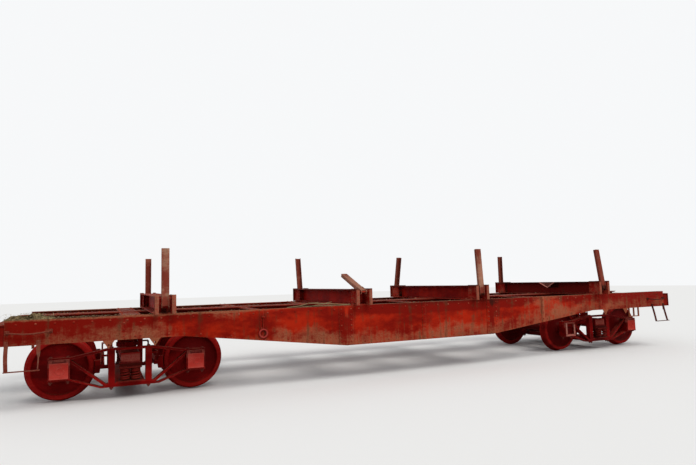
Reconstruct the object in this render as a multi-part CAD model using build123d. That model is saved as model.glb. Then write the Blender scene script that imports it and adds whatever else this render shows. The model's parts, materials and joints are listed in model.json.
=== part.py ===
from build123d import *
import os
from math import asin, atan2, cos, degrees, hypot, pi, sin

# A log car: an open steel underframe with four bunks and eight folding stakes, on two arch bar trucks.
# All sizes are in millimetres. X runs along the car, Y runs across it and Z is up from the flange tips.
# The side at negative Y is the near side, and the end at negative X is the left end.

# Body and spacing, each truck and bunk kept at its place from the end
body_half = 6233
truck_inset = 1633
truck_x = body_half - truck_inset
axle_x = 889
outer_bunk_inset = 412
outer_bunk_x = truck_x - outer_bunk_inset
inner_bunk_x = 1168
bunk_xs = [-outer_bunk_x, -inner_bunk_x, inner_bunk_x, outer_bunk_x]
bunk_names = ["1", "2", "3", "4"]

# Overlap of a cutting shape past the face that it cuts
cut_over = 1

# Flats round thin bars, rings, axles, centre plates and wheels
bar_sides = 8
ring_sides = 12
axle_sides = 12
plate_sides = 24
wheel_sides = 32

# Side sills, fishbelly plates with their flanges turned in
sill_face = 1456
sill_top = 1165
sill_web = 10
sill_flange = 100
sill_flange_thick = 10
sill_end_bottom = 848
sill_mid_bottom = 540
knee_x = 1446
taper_inset = 650
taper_x = truck_x - taper_inset

# Straps riveted up the sill's outer face, as place along the car and width
strap_thick = 8
outer_strap_inset = 430
sill_straps = [(-2820, 60), (-knee_x, 250), (0, 70), (knee_x, 250), (2650, 70),
               (truck_x - outer_strap_inset, 60)]

# Triangular chain lugs under the sill, on each side of a truck's centre
lug_offset = 290
lug_half = 74
lug_drop = 108
lug_hole = 12
lug_hole_drop = 58

# Strap hanger under the near sill at the right end
hanger_offset = 542
hanger_x = truck_x + hanger_offset
hanger_half = 138
hanger_drop = 165
hanger_bar = 16
hanger_wide = 30

# Binder ring, hung on a rod down the sill's face
ring_x = 2800
ring_radius = 58
ring_bar = 9
rod_radius = 8
ring_top_z = 1050
ring_centre_z = 812
rod_clear = 2
ring_clip_half = 20
ring_clip_tall = 24
ring_clip_wall = 4

# End sills, channels open to the inside
end_depth = 160
end_bottom = 850
end_top = 1115
end_thick = 12
end_plug_inset = 18
shank_clear = 20
carrier_half = 110
carrier_bar = 12
carrier_wide = 60

# Centre sill, two channels under a cover plate
centre_face = 175
centre_web = 12
centre_flange = 70
centre_flange_thick = 14
centre_bottom = 860
top_plate_half = 270
top_plate_thick = 10

# Body bolsters and crossbearers
bolster_web_offset = 105
bolster_web = 12
bolster_half = 140
bolster_plate = 14
bolster_bottom = 770
bolster_foot = 210
member_shoulder = 1320
bearer_web = 12
bearer_half = 75
bearer_plate = 12
bearer_foot = 40
bearer_rise = 30
bearer_rows = [("left_outer", -2820), ("left_inner", -knee_x), ("middle", 0), ("right_inner", knee_x),
               ("right_outer", 2650)]

# Centre plates, king pin and side bearings
plate_radius = 150
plate_gap = 0.3
bowl_floor = 662
bowl_wall = 16
bowl_rim = 22
bowl_sides = 8
king_radius = 24
king_gap = 0.4
king_length = 60
king_end_gap = 6
bearing_y = 640
bearing_half = 55
bearing_wide = 60
bearing_top = 745
bearing_gap = 9

# Bunks, rolled beams across the sills with a stake pocket at each end
bunk_half = 1575
bunk_height = 250
bunk_flange = 140
bunk_flange_thick = 14
bunk_web = 12
pin_inset = 55
pin_y = bunk_half - pin_inset
pin_rise = 210
pin_z = sill_top + pin_rise
pocket_deep = 190
pocket_inner = pin_y - pocket_deep
pocket_root = 55
pocket_wall_inner = pocket_inner - pocket_root
pocket_clear = 86
pocket_plate = 12
pocket_rise = 12
pocket_lip = 140
pin_radius = 16
pin_end = 14

# Dent in the fourth bunk's top flange
dent_y = -180
dent_near = 200
dent_far = 240
dent_drop = 112

# Stakes, channels that open towards the load, slotted at the heel so that they lift before they fold
stake_half = 51
stake_depth = 58
stake_wall = 9
stake_top_z = 2067
stake_slot = 100
stake_heel = 38
stake_heel_cut = 16
stake_shoulder = 62
stake_pin_gap = 0.4
stake_seat_gap = 0.3

# Lean at which a folded stake lies on the end of its bunk's top flange
flange_in = pin_y - pocket_inner
flange_up = sill_top + bunk_height - pin_z
seat_reach = stake_depth / 2 + stake_seat_gap
fold_lean = degrees(atan2(flange_in, flange_up) - asin(seat_reach / hypot(flange_in, flange_up)))

# How each stake stands: bunk, side, lean towards the load in degrees, and whether it is lifted
stake_rows = [("1", "near", 0, False), ("1", "far", 0, False),
              ("2", "near", fold_lean, True), ("2", "far", -9, False),
              ("3", "near", 4, False), ("3", "far", 13, False),
              ("4", "near", 8, False), ("4", "far", 0, False)]

# Couplers
coupler_z = 905
shank_half_y = 64
shank_half_z = 80
shank_inset = 533
shank_start = body_half - shank_inset
shank_lap = 60
head_out = 152
head_start = body_half + head_out
head_half_z = 130
yoke_inset = 903
yoke_start = body_half - yoke_inset
yoke_half_y = 150
yoke_half_z = 100
pin_place_x = 165
pin_place_y = 95
knuckle_pin_radius = 20
knuckle_pin_out = 22

# Steps and grab irons at the corners, and how far each step is bent outwards along the car
step_insets = (533, 185)
step_xs = [body_half - inset for inset in step_insets]
step_drop = 315
step_bar = 12
step_wide = 45
step_lap = 60
step_tread = 42
corner_rows = [("left", "near", 0), ("left", "far", 0), ("right", "near", 96), ("right", "far", 0)]
grab_insets = (666, 191)
grab_xs = [body_half - inset for inset in grab_insets]
grab_z = 1018
grab_out = 62
grab_radius = 9
grab_sag = 22

# Arch bar trucks
axle_z = 447.7
frame_y = 980
bar_half = 50
bar_thick = 32
tie_thick = 20
bar_end = 1030
box_half = 130
box_top = 552
box_bottom = 326
arch_rise_x = 300
arch_rise_z = 685
drop_x = 320
drop_z = 205
tie_x = 380
column_x = 243
column_half = 43
box_back = 905
box_front = 1085
mouth_top = 598
mouth_back = 1034
lid_thick = 12
lid_half = 124
lid_margin = 14
lid_low_margin = 26
mouth_wall = 24
journal_gap = 0.5
journal_end_gap = 4

# The journal box whose lid is missing
open_box = ("right", "near", -1)

# Truck bolster, spring plank and spring nests
truck_bolster_half = 125
truck_bolster_top = 628
truck_bolster_bottom = 493
truck_bolster_end = 1046
plank_half = 190
plank_thick = 16
plank_lip = 60
plank_gap = 5
coil_radius = 65
coil_core = 44
coil_turns = 3
coil_sides = 6
coil_pitch_x = 140
coil_pitch_y = 134
nest_half_x = 148
nest_half_y = 138
nest_plate = 15
nest_top = 437
seat_trim = 60

# Brake beams
brake_gap = 12
shoe_seat = 8
shoe_low = 345
shoe_high = 525
shoe_in = 716
shoe_wide = 80
shoe_out = shoe_in + shoe_wide
shoe_reach = 300
beam_half = 30
beam_x = 362
hanger_top = 612
hanger_lap = 30
brake_bar = 13

# Wheelsets
tread_radius = 419
tread_front = 416
flange_height = 28.7
flange_edge = 14
flange_foot = 36
wheel_back = 676.5
wheel_front = 814
plate_sunk = 34
rim_radius = 355
rim_slope = 8
hub_radius = 125
hub_front = 832
journal_radius = 64
journal_end = 1046
axle_radius = 70


def block(x, y, z):
    """Box between two limits along each axis."""
    middle = [(limit[0] + limit[1]) / 2 for limit in (x, y, z)]
    size = [abs(limit[1] - limit[0]) for limit in (x, y, z)]
    return Pos(*middle) * Box(*size)


def plate_xz(points, y_from, y_to):
    """Plate with this outline in X and Z, between two places across the car."""
    outline = make_face(Polyline(*[(x, y_from, z) for x, z in points], close=True))
    return extrude(outline, amount=y_to - y_from, dir=(0, 1, 0))


def plate_yz(points, x_from, x_to):
    """Plate with this outline in Y and Z, between two places along the car."""
    outline = make_face(Polyline(*[(x_from, y, z) for y, z in points], close=True))
    return extrude(outline, amount=x_to - x_from, dir=(1, 0, 0))


def plate_xy(points, z_from, z_to):
    """Plate with this outline in X and Y, between two heights."""
    outline = make_face(Polyline(*[(x, y, z_from) for x, y in points], close=True))
    return extrude(outline, amount=z_to - z_from, dir=(0, 0, 1))


def bent_bar(points, thick):
    """Outline of a flat bar bent along a line of points, with mitred bends."""
    upper = []
    lower = []
    for i, (x, z) in enumerate(points):
        before = points[max(i - 1, 0)]
        after = points[min(i + 1, len(points) - 1)]
        turn_in = atan2(z - before[1], x - before[0]) if i else atan2(after[1] - z, after[0] - x)
        turn_out = atan2(after[1] - z, after[0] - x) if i < len(points) - 1 else turn_in
        middle = (turn_in + turn_out) / 2
        reach = thick / 2 / cos((turn_out - turn_in) / 2)
        upper.append((x - reach * sin(middle), z + reach * cos(middle)))
        lower.append((x + reach * sin(middle), z - reach * cos(middle)))
    return upper + lower[::-1]


def rod(start, end, radius):
    """Thin round bar between two points, with flats."""
    line = Vector(*end) - Vector(*start)
    place = Plane(origin=start, z_dir=line)
    return extrude(place * RegularPolygon(radius, bar_sides), amount=line.length)


def turned(profile, sides):
    """Turned piece with flats, about Z, from its radii and heights in order."""
    rings = []
    for radius, z in profile:
        turns = [2 * pi * i / sides for i in range(sides)]
        rings.append([(radius * cos(turn), radius * sin(turn), z) for turn in turns])
    faces = [make_face(Polyline(*rings[0], close=True)), make_face(Polyline(*rings[-1], close=True))]
    for low, high in zip(rings, rings[1:]):
        for i in range(sides):
            after = (i + 1) % sides
            faces.append(make_face(Polyline(low[i], low[after], high[after], high[i], close=True)))
    return Solid(Shell([face.face() for face in faces]))


def hole_corner(radius, count):
    """Radius to the corners of a hole with flats that a round piece of this radius turns in."""
    return radius / cos(pi / count)


def sill_bottom(x):
    """Height of the side sill's bottom edge at a place along the car."""
    share = (abs(x) - knee_x) / (taper_x - knee_x)
    share = min(max(share, 0), 1)
    return sill_mid_bottom + share * (sill_end_bottom - sill_mid_bottom)


# Side sills
def side_sill(side):
    end = body_half - end_depth
    belly = [(-end, sill_end_bottom), (-taper_x, sill_end_bottom), (-knee_x, sill_mid_bottom),
             (knee_x, sill_mid_bottom), (taper_x, sill_end_bottom), (end, sill_end_bottom)]
    inner = side * (sill_face - sill_web)
    face = side * sill_face
    lip = side * (sill_face - sill_flange)
    sill = plate_xz(belly + [(end, sill_top), (-end, sill_top)], inner, face)
    sill += block((-end, end), (lip, inner), (sill_top - sill_flange_thick, sill_top))
    band = belly + [(x, z + sill_flange_thick) for x, z in belly[::-1]]
    sill += plate_xz(band, lip, inner)
    for x, width in sill_straps:
        x = x * -side
        low = max(sill_bottom(x - width / 2), sill_bottom(x + width / 2))
        sill += block((x - width / 2, x + width / 2), (face, face + side * strap_thick), (low, sill_top))
    for centre in (-truck_x, truck_x):
        for offset in (-lug_offset, lug_offset):
            x = centre + offset
            tip = (x, sill_end_bottom - lug_drop)
            lug = [(x - lug_half, sill_end_bottom), tip, (x + lug_half, sill_end_bottom)]
            sill += plate_xz(lug, inner, face)
            hole_z = sill_end_bottom - lug_hole_drop
            over = side * cut_over
            sill -= rod((x, inner - over, hole_z), (x, face + over, hole_z), lug_hole)
    x = ring_x * side
    out = face + side * (strap_thick + rod_clear + rod_radius)
    sill += rod((x, out, ring_centre_z + ring_radius), (x, out, ring_top_z), rod_radius)
    clip_out = out + side * (rod_radius + ring_clip_wall)
    sill += block((x - ring_clip_half, x + ring_clip_half), (face, clip_out),
                  (ring_top_z - ring_clip_tall / 2, ring_top_z + ring_clip_tall / 2))
    flat = Plane(origin=(x, out - ring_bar, ring_centre_z), x_dir=(1, 0, 0), z_dir=(0, 1, 0))
    ring = RegularPolygon(ring_radius + ring_bar, ring_sides)
    ring -= RegularPolygon(ring_radius - ring_bar, ring_sides)
    sill += extrude(flat * ring, amount=2 * ring_bar, dir=(0, 1, 0))
    if side < 0:
        low = sill_end_bottom - hanger_drop
        mid = sill_face - hanger_wide
        for x in (hanger_x - hanger_half, hanger_x, hanger_x + hanger_half):
            leg = (x - hanger_bar / 2, x + hanger_bar / 2)
            sill += block(leg, (-sill_face, -mid), (low, sill_end_bottom))
        across = (hanger_x - hanger_half - hanger_bar / 2, hanger_x + hanger_half + hanger_bar / 2)
        sill += block(across, (-sill_face, -mid), (low - hanger_bar, low))
    return sill


# End sills, with the carrier that holds the coupler's shank
def end_sill(end):
    outer = end * body_half
    inner = end * (body_half - end_depth)
    sill = block((outer, outer - end * end_thick), (-sill_face, sill_face), (end_bottom, end_top))
    sill += block((outer, inner), (-sill_face, sill_face), (end_bottom, end_bottom + end_thick))
    sill += block((outer, inner), (-sill_face, sill_face), (end_top - end_thick, end_top))
    for side in (-1, 1):
        plug = side * (sill_face - end_plug_inset)
        sill += block((outer, inner), (plug, plug - side * end_thick), (end_bottom, end_top))
    over = end * cut_over
    sill -= block((inner - over, outer + over), (-carrier_half, carrier_half),
                  (end_bottom - cut_over, coupler_z + shank_half_z + shank_clear))
    low = coupler_z - shank_half_z - plate_gap
    for side in (-1, 1):
        leg = side * carrier_half
        sill += block((outer, outer - end * carrier_wide), (leg, leg + side * carrier_bar),
                      (low, end_bottom + end_thick))
    reach = carrier_half + carrier_bar
    sill += block((outer, outer - end * carrier_wide), (-reach, reach), (low - carrier_bar, low))
    return sill


# Centre sill
def centre_sill():
    end = body_half - end_depth
    top = sill_top - top_plate_thick
    sill = block((-end, end), (-top_plate_half, top_plate_half), (top, sill_top))
    for side in (-1, 1):
        face = side * centre_face
        tip = side * (centre_face + centre_flange)
        sill += block((-end, end), (face - side * centre_web, face), (centre_bottom, top))
        sill += block((-end, end), (face, tip), (centre_bottom, centre_bottom + centre_flange_thick))
        sill += block((-end, end), (face, tip), (top - centre_flange_thick, top))
    return sill


# Crossbearers: a web on each side of the centre sill, over one plate that runs under it
def cross_member(x, web_xs, web_thick, half, plate, low_y, low_z, side_z):
    """Webs from the centre sill to the side sills, with a bottom plate and top plates."""
    side_y = sill_face - sill_web
    top = sill_top - sill_flange_thick
    near_sill = centre_face + centre_flange
    line = [(side_y, side_z), (member_shoulder, side_z), (low_y, low_z)]
    band = line + [(-y, z) for y, z in line[::-1]]
    bottom = band + [(y, z - plate) for y, z in band[::-1]]
    member = plate_yz(bottom, x - half, x + half)
    for side in (-1, 1):
        web = [(near_sill, low_z), (low_y, low_z), (member_shoulder, side_z), (side_y, side_z),
               (side_y, top), (near_sill, top)]
        web = [(side * y, z) for y, z in web]
        for place in web_xs:
            member += plate_yz(web, x + place - web_thick / 2, x + place + web_thick / 2)
        member += block((x - half, x + half), (side * top_plate_half, side * side_y), (top - plate, top))
    return member


def crossbearer(x):
    low_y = centre_face + centre_flange + bearer_foot
    side_z = sill_bottom(x) + sill_flange_thick + bearer_plate + bearer_rise
    return cross_member(x, [0], bearer_web, bearer_half, bearer_plate, low_y, centre_bottom, side_z)


# Body bolsters, with the male centre plate, the king pin and the upper side bearings
def body_bolster(x):
    low_y = plate_radius + bolster_foot
    offsets = [-bolster_web_offset, bolster_web_offset]
    shoulder = sill_end_bottom + sill_flange_thick + bolster_plate
    low_z = bolster_bottom + bolster_plate
    bolster = cross_member(x, offsets, bolster_web, bolster_half, bolster_plate, low_y, low_z, shoulder)
    filler = centre_face + centre_flange
    bolster += block((x - bolster_half, x + bolster_half), (-filler, filler), (low_z, centre_bottom))
    plate_low = bowl_floor + plate_gap
    profile = [(king_radius, bowl_floor - king_length), (king_radius, plate_low), (plate_radius, plate_low),
               (plate_radius, bolster_bottom)]
    bolster += Pos(x, 0, 0) * turned(profile, plate_sides)
    rise = (bearing_y - low_y) / (member_shoulder - low_y) * (shoulder - low_z)
    for side in (-1, 1):
        y = side * bearing_y
        bolster += block((x - bearing_wide, x + bearing_wide), (y - bearing_half, y + bearing_half),
                         (bearing_top + bearing_gap, low_z + rise - bolster_plate / 2))
    return bolster


# Bunks
def dented_flange(x, top):
    """The part of a top flange whose edge is bent down, as three plates folded on a V."""
    tip = x - bunk_flange
    near = dent_y - dent_near
    far = dent_y + dent_far
    low = (tip, dent_y, top - dent_drop)
    leaves = [[(x, near, top), (tip, near, top), low],
              [(x, near, top), low, (x, far, top)],
              [(x, far, top), low, (tip, far, top)]]
    plates = [extrude(make_face(Polyline(*leaf, close=True)), amount=bunk_flange_thick, dir=(0, 0, -1))
              for leaf in leaves]
    return plates[0] + plates[1] + plates[2]


def bunk(x, name):
    top = sill_top + bunk_height
    flange_low = (sill_top, sill_top + bunk_flange_thick)
    flange_high = (top - bunk_flange_thick, top)
    inner = pocket_inner
    beam = block((x - bunk_web / 2, x + bunk_web / 2), (-inner, inner), (sill_top, top))
    beam += block((x - bunk_flange, x + bunk_flange), (-sill_face, sill_face), flange_low)
    if name == "4":
        low_end = dent_y - dent_near
        high_end = dent_y + dent_far
        beam += block((x, x + bunk_flange), (-inner, inner), flange_high)
        beam += block((x - bunk_flange, x), (-inner, low_end), flange_high)
        beam += block((x - bunk_flange, x), (high_end, inner), flange_high)
        beam += dented_flange(x, top)
    else:
        beam += block((x - bunk_flange, x + bunk_flange), (-inner, inner), flange_high)
    for side in (-1, 1):
        back = side * inner
        end = side * bunk_half
        closed = (back - side * pocket_plate, back)
        beam += block((x - pocket_clear, x + pocket_clear), closed, (sill_top, top))
        for edge in (-1, 1):
            wall = x + edge * pocket_clear
            wall_out = wall + edge * pocket_plate
            tip = x + edge * pocket_lip
            high = top + pocket_rise
            beam += block((wall, wall_out), (side * pocket_wall_inner, end), (sill_top, high))
            beam += block((wall, tip), (end - side * pocket_plate, end), (sill_top, high))
            beam += block((wall, tip), (back, end - side * pocket_plate), flange_high)
        pin_ends = pocket_clear + pocket_plate + pin_end
        beam += rod((x - pin_ends, side * pin_y, pin_z), (x + pin_ends, side * pin_y, pin_z), pin_radius)
    return beam


# Stakes, drawn upright at their pin and then lifted and leaned
def stake(x, side, lean, lifted):
    lift = stake_slot if lifted else 0
    length = stake_top_z - pin_z
    heel = -stake_slot - stake_heel
    inner = stake_depth / 2
    hole = pin_radius + stake_pin_gap
    web = inner - stake_wall
    flange = stake_half - stake_wall
    outline = [(-stake_half, -inner), (stake_half, -inner), (stake_half, inner), (flange, inner),
               (flange, -web), (-flange, -web), (-flange, inner), (-stake_half, inner)]
    bar = plate_xy(outline, heel + stake_heel, length)
    cheek = [(inner, stake_shoulder), (stake_heel, stake_heel), (stake_heel, heel + stake_heel_cut),
             (stake_heel - stake_heel_cut, heel)]
    cheek += [(-y, z) for y, z in cheek[::-1]]
    for edge in (-1, 1):
        bar += plate_yz(cheek, edge * stake_half, edge * flange)
    across = (-stake_half - cut_over, stake_half + cut_over)
    bar -= block(across, (-hole, hole), (-stake_slot - hole, hole))
    if side > 0:
        bar = Rot(0, 0, 180) * bar
    return Pos(x, side * pin_y, pin_z) * Rot(side * lean, 0, 0) * Pos(0, 0, lift) * bar


# Couplers
head_outline = [(0, -70), (60, -120), (150, -150), (235, -185), (262, -150), (200, -85), (140, -45),
                (128, 25), (150, 62), (196, 40), (214, -20), (248, -8), (262, 50), (238, 118), (170, 150),
                (95, 140), (0, 70)]


def coupler(end):
    points = [(end * (head_start + x), end * y) for x, y in head_outline]
    piece = plate_xy(points, coupler_z - head_half_z, coupler_z + head_half_z)
    piece += block((end * shank_start, end * (head_start + shank_lap)), (-shank_half_y, shank_half_y),
                   (coupler_z - shank_half_z, coupler_z + shank_half_z))
    piece += block((end * yoke_start, end * shank_start), (-yoke_half_y, yoke_half_y),
                   (coupler_z - yoke_half_z, coupler_z + yoke_half_z))
    pin = (end * (head_start + pin_place_x), end * pin_place_y)
    pin_half = head_half_z + knuckle_pin_out
    piece += rod((*pin, coupler_z - pin_half), (*pin, coupler_z + pin_half), knuckle_pin_radius)
    return piece


# Steps and grab irons, one of each at a corner
def corner_irons(end, side, bend):
    face = side * sill_face
    out = face + side * step_bar
    high = sill_end_bottom + step_lap
    low = sill_end_bottom - step_drop
    shift = end * bend
    half = step_wide / 2
    step = None
    for x in step_xs:
        x = end * x
        leg = [(x - half, high), (x + half, high), (x + half, sill_end_bottom),
               (x + shift + half, low), (x + shift - half, low), (x - half, sill_end_bottom)]
        leg = plate_xz(leg, face, out)
        step = leg if step is None else step + leg
    tread = (end * step_xs[0] + shift - end * half, end * step_xs[1] + shift + end * half)
    step += block(tread, (face, face + side * step_tread), (low, low + step_bar))
    hang = face + side * grab_out
    middle = end * sum(grab_xs) / 2
    route = [(end * grab_xs[0], face, grab_z), (end * grab_xs[0], hang, grab_z),
             (middle, hang, grab_z - grab_sag),
             (end * grab_xs[1], hang, grab_z), (end * grab_xs[1], face, grab_z)]
    line = Polyline(*route)
    start = Plane(origin=route[0], z_dir=(0, side, 0))
    grab = sweep(start * RegularPolygon(grab_radius, bar_sides), path=line, transition=Transition.RIGHT)
    return Compound([step.solid(), grab.solid()])


# Truck side frames: two arch bars, a tie bar, two columns and two journal boxes
def journal_box(x, side, has_lid):
    front = side * box_front
    box = block((x - box_half, x + box_half), (side * box_back, front), (box_bottom, box_top))
    box += block((x - lid_half, x + lid_half), (side * mouth_back, front), (box_bottom, mouth_top))
    if has_lid:
        lid_x = (x - lid_half + lid_margin, x + lid_half - lid_margin)
        lid_z = (box_bottom + lid_low_margin, mouth_top - lid_margin)
        box += block(lid_x, (front, front + side * lid_thick), lid_z)
    else:
        mouth_x = (x - lid_half + mouth_wall, x + lid_half - mouth_wall)
        mouth_z = (box_bottom + mouth_wall, mouth_top - mouth_wall)
        box -= block(mouth_x, (side * mouth_back, front + side * cut_over), mouth_z)
    return box


def side_frame(end, side, open_sign):
    centre = end * truck_x
    edges = (side * (frame_y - bar_half), side * (frame_y + bar_half))
    top_z = box_top + bar_thick * 1.5
    low_z = box_top + bar_thick / 2
    arch = [(-bar_end, top_z), (-axle_x + box_half, top_z), (-arch_rise_x, arch_rise_z)]
    drop = [(-bar_end, low_z), (-axle_x + box_half, low_z), (-drop_x, drop_z)]
    tie_low = drop_z - bar_thick / 2 - tie_thick / 2
    tie = [(-bar_end, box_bottom - tie_thick / 2), (-axle_x + box_half, box_bottom - tie_thick / 2),
           (-tie_x, tie_low)]
    frame = None
    for half, thick in ((arch, bar_thick), (drop, bar_thick), (tie, tie_thick)):
        line = half + [(-x, z) for x, z in half[::-1]]
        line = [(centre + x, z) for x, z in line]
        bar = plate_xz(bent_bar(line, thick), *edges)
        frame = bar if frame is None else frame + bar
    for sign in (-1, 1):
        x = centre + sign * column_x
        frame += block((x - column_half, x + column_half), edges, (drop_z, arch_rise_z))
        frame += journal_box(centre + sign * axle_x, side, sign != open_sign)
    room = journal_radius + journal_gap
    room_y = (side * (box_back - cut_over), side * (journal_end + journal_end_gap))
    for sign in (-1, 1):
        x = centre + sign * axle_x
        frame -= block((x - room, x + room), room_y, (axle_z - room, axle_z + room))
    return frame


# Truck bolster, with the bowl for the centre plate and the lower side bearings
def truck_bolster(centre):
    half = truck_bolster_half
    body = block((centre - half, centre + half), (-truck_bolster_end, truck_bolster_end),
                 (truck_bolster_bottom, truck_bolster_top))
    boss = RegularPolygon(hole_corner(plate_radius + bowl_wall, bowl_sides), bowl_sides)
    boss = extrude(Rot(0, 0, 180 / bowl_sides) * boss, bowl_floor + bowl_rim - truck_bolster_top)
    body += Pos(centre, 0, truck_bolster_top) * boss
    bowl = hole_corner(plate_radius + plate_gap, plate_sides)
    bore = hole_corner(king_radius + king_gap, plate_sides)
    bore_low = bowl_floor - king_length - king_end_gap
    brim = bowl_floor + bowl_rim + cut_over
    profile = [(bore, bore_low), (bore, bowl_floor), (bowl, bowl_floor), (bowl, brim)]
    body -= Pos(centre, 0, 0) * turned(profile, plate_sides)
    for side in (-1, 1):
        y = side * bearing_y
        body += block((centre - bearing_wide, centre + bearing_wide), (y - bearing_half, y + bearing_half),
                      (truck_bolster_top, bearing_top))
        seat = side * frame_y
        seat_y = (seat - side * nest_half_y, seat + side * (nest_half_y - seat_trim))
        body += block((centre - nest_half_x, centre + nest_half_x), seat_y, (nest_top, truck_bolster_bottom))
    return body


# Spring plank, a channel turned down between the side frames
def spring_plank(centre):
    low = drop_z + bar_thick / 2
    plank = block((centre - plank_half, centre + plank_half), (-frame_y - bar_half, frame_y + bar_half),
                  (low, low + plank_thick))
    inner = frame_y - bar_half - plank_gap
    for sign in (-1, 1):
        x = centre + sign * plank_half
        plank += block((x, x - sign * plank_thick), (-inner, inner), (low - plank_lip, low))
    return plank


# Spring nests: four coils between two plates
def coil(height):
    """Coil spring, as a bar that swells and narrows once for each turn."""
    rise = height / coil_turns
    profile = [(coil_core, 0)]
    for i in range(coil_turns):
        profile += [(coil_radius, (i + 0.5) * rise), (coil_core, (i + 1) * rise)]
    return turned(profile, coil_sides)


def spring_nest(centre, side):
    low = drop_z + bar_thick / 2 + plank_thick
    y = side * frame_y
    x_limits = (centre - nest_half_x, centre + nest_half_x)
    y_limits = (y - nest_half_y, y + nest_half_y)
    nest = block(x_limits, y_limits, (low, low + nest_plate))
    nest += block(x_limits, y_limits, (nest_top - nest_plate, nest_top))
    spring = coil(nest_top - low - 2 * nest_plate)
    for dx in (-coil_pitch_x / 2, coil_pitch_x / 2):
        for dy in (-coil_pitch_y / 2, coil_pitch_y / 2):
            nest += Pos(centre + dx, y + dy, low + nest_plate) * spring
    return nest


# Brake beams with their shoes and hangers
def brake_beam(centre, sign):
    axle = centre + sign * axle_x
    x = centre + sign * beam_x
    z = (shoe_low + shoe_high) / 2
    beam = block((x - beam_half, x + beam_half), (-shoe_out, shoe_out), (z - beam_half, z + beam_half))
    face = tread_radius + brake_gap
    back = axle_x - beam_x - beam_half + shoe_seat
    for side in (-1, 1):
        ring = Cylinder(back, shoe_out - shoe_in) - Cylinder(face, shoe_out - shoe_in)
        ring = Pos(axle, side * (shoe_in + shoe_out) / 2, axle_z) * Rot(90, 0, 0) * ring
        across = (side * shoe_in, side * shoe_out)
        window = block((x, axle - sign * shoe_reach), across, (shoe_low, shoe_high))
        beam += ring & window
        y = side * (shoe_in + shoe_wide / 4)
        across = (x - brake_bar, x + brake_bar)
        tall = (hanger_top - 2 * brake_bar, hanger_top)
        beam += block(across, (y - brake_bar, y + brake_bar), (z, hanger_top))
        inside = side * (frame_y - bar_half)
        beam += block(across, (y - side * brake_bar, inside + side * hanger_lap), tall)
        column = centre + sign * (column_x + column_half)
        beam += block((column, x + sign * brake_bar), (inside, inside + side * hanger_lap), tall)
    return beam.solid()


# Wheelsets: an axle and its two wheels
def wheel():
    """Wheel on the far side: flat back, flange, tread, rim, sunk plate and hub."""
    flange_radius = tread_radius + flange_height
    sunk = wheel_front - plate_sunk
    profile = [(flange_radius, wheel_back), (flange_radius, wheel_back + flange_edge),
               (tread_radius, wheel_back + flange_foot), (tread_front, wheel_front),
               (rim_radius, wheel_front), (rim_radius - rim_slope, sunk), (hub_radius, sunk),
               (hub_radius, hub_front)]
    return turned(profile, wheel_sides)


def wheelset(x):
    profile = [(journal_radius, -journal_end), (journal_radius, -hub_front), (axle_radius, -hub_front),
               (axle_radius, hub_front), (journal_radius, hub_front), (journal_radius, journal_end)]
    axle = turned(profile, axle_sides)
    one = wheel()
    pair = axle + one + Rot(180, 0, 0) * one
    return Pos(x, 0, axle_z) * Rot(90, 0, 0) * pair


parts = {}
parts["side_sill_near"] = side_sill(-1)
parts["side_sill_far"] = side_sill(1)
parts["centre_sill"] = centre_sill()
for name, x in bearer_rows:
    parts["crossbearer_" + name] = crossbearer(x)
for bunk_name, x in zip(bunk_names, bunk_xs):
    parts["bunk_" + bunk_name] = bunk(x, bunk_name)
for bunk_name, side_name, lean, lifted in stake_rows:
    side = -1 if side_name == "near" else 1
    x = bunk_xs[bunk_names.index(bunk_name)]
    parts["stake_" + bunk_name + "_" + side_name] = stake(x, side, lean, lifted)
for end_name, end in (("left", -1), ("right", 1)):
    centre = end * truck_x
    parts["end_sill_" + end_name] = end_sill(end)
    parts["coupler_" + end_name] = coupler(end)
    parts["body_bolster_" + end_name] = body_bolster(centre)
    parts["truck_bolster_" + end_name] = truck_bolster(centre)
    parts["spring_plank_" + end_name] = spring_plank(centre)
    beams = [brake_beam(centre, -1), brake_beam(centre, 1)]
    parts["brake_beams_" + end_name] = Compound(beams)
    for axle_name, sign in (("outer", end), ("inner", -end)):
        parts["wheelset_" + end_name + "_" + axle_name] = wheelset(centre + sign * axle_x)
    for side_name, side in (("near", -1), ("far", 1)):
        open_sign = open_box[2] if (end_name, side_name) == open_box[:2] else 0
        parts["side_frame_" + end_name + "_" + side_name] = side_frame(end, side, open_sign)
        parts["spring_nest_" + end_name + "_" + side_name] = spring_nest(centre, side)
for end_name, side_name, bend in corner_rows:
    end = -1 if end_name == "left" else 1
    side = -1 if side_name == "near" else 1
    parts["corner_irons_" + end_name + "_" + side_name] = corner_irons(end, side, bend)

os.makedirs("parts", exist_ok=True)
for name, solid in parts.items():
    export_step(solid, "parts/" + name + ".step")
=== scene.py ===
import json
from math import cos, pi, radians, sin

import bmesh
import bpy
import numpy as np
from mathutils import Matrix, Vector


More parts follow.
